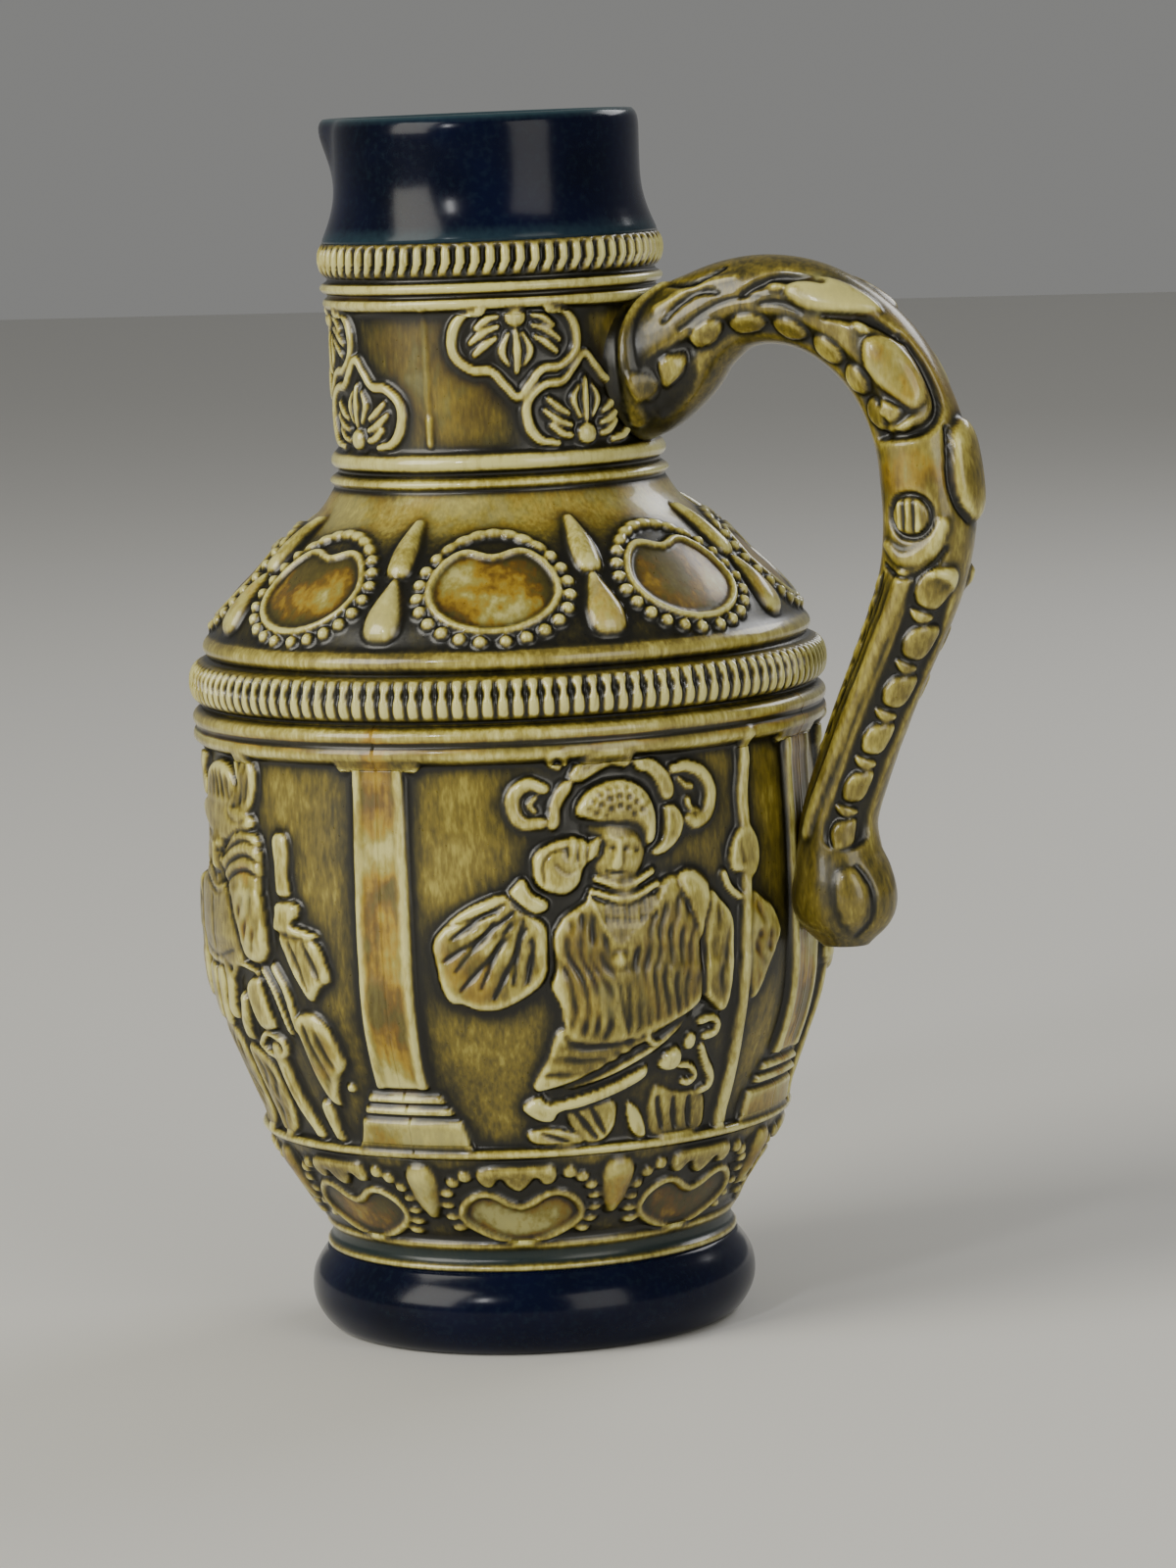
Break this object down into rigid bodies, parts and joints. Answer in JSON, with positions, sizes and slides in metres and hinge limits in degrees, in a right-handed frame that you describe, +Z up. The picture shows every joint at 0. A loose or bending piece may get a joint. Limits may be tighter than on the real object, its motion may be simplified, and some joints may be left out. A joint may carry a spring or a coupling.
{
  "type": "ceramic relief jug",
  "caption": "Hollow glazed jug with figure panels, columns, hearts and rope mouldings in relief, a narrow neck, a pouring lip and a looped handle.",
  "frame": {"origin": "middle of the standing ring's plane, on the jug's axis, under the shallow recess of the underside", "axes": "+Z up the jug's axis to the rim; +X through the handle; the jug pours towards -X"},
  "size_m": [0.1444, 0.111, 0.21],
  "materials": {
    "glaze": "glossy, stained relief"
  },
  "bodies": {
    "root": {"jug": "glaze"}
  },
  "joints": []
}
